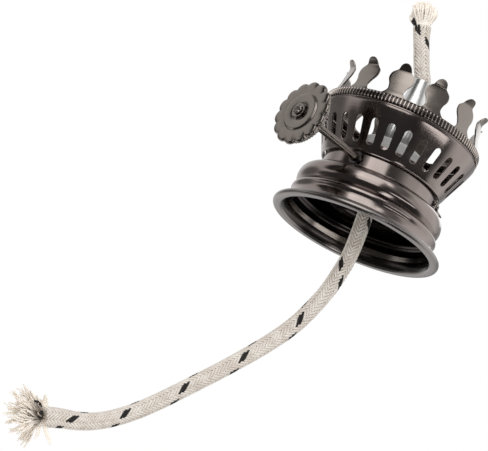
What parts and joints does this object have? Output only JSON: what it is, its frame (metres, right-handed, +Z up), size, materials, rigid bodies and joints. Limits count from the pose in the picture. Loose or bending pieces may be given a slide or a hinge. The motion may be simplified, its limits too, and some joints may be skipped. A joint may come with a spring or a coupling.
{
  "type": "oil lamp burner",
  "caption": "Round-wick oil lamp burner with a rolled base, slotted gallery, leaf-shaped chimney prongs, a side knob that raises the wick, and a hanging cotton wick.",
  "frame": {"origin": "centre of the plane that the base's rolled lip rests on, on the burner's axis", "axes": "+Z up along the burner's axis; the picture looks along +Y from below; the knob's spindle points to -X -Y"},
  "size_m": [0.0841, 0.0554, 0.147],
  "materials": {
    "dark_plate": "dark nickel plate, satin",
    "bright_metal": "bright drawn",
    "brass": "plain",
    "cotton": "braided cotton with black tracer threads"
  },
  "bodies": {
    "burner_body": {"base_shell": "dark_plate", "neck_cup": "dark_plate", "gallery_catch": "dark_plate", "catch_rivet": "dark_plate", "raiser_housing": "bright_metal", "guide_tube": "bright_metal", "fluted_collar": "bright_metal", "burner_tip": "bright_metal", "spindle_saddle": "brass", "spindle_bush": "dark_plate"},
    "wick_drive": {"spindle": "dark_plate", "spur_wheel": "brass", "stop_ring": "brass", "knob_front": "dark_plate", "knob_back": "dark_plate", "knob_washer": "dark_plate"},
    "gallery": {"gallery_basket": "dark_plate", "prong_crown": "dark_plate"},
    "wick": {"wick_top": "cotton", "wick_top_tuft": "cotton", "wick_inner": "cotton", "wick_hanging": "cotton", "wick_frayed_end": "cotton"}
  },
  "joints": [
    {"name": "knob_turn", "type": "hinge", "parent": "burner_body", "child": "wick_drive", "pos_m": [0.00296, -0.00352, 0.0148], "axis": [0.766, 0.6428, 0], "range_deg": [-14, 300]},
    {"name": "wick_raise", "type": "slide", "parent": "burner_body", "child": "wick", "axis": [0, 0, 1], "range_m": [-0.0007, 0.0138]},
    {"name": "gallery_lift", "type": "slide", "parent": "burner_body", "child": "gallery", "axis": [0, 0, 1], "range_m": [0, 0.012]}
  ],
  "couplings": [
    {"joint": "wick_raise", "follows": "knob_turn", "m_per_rad": 0.0026}
  ]
}
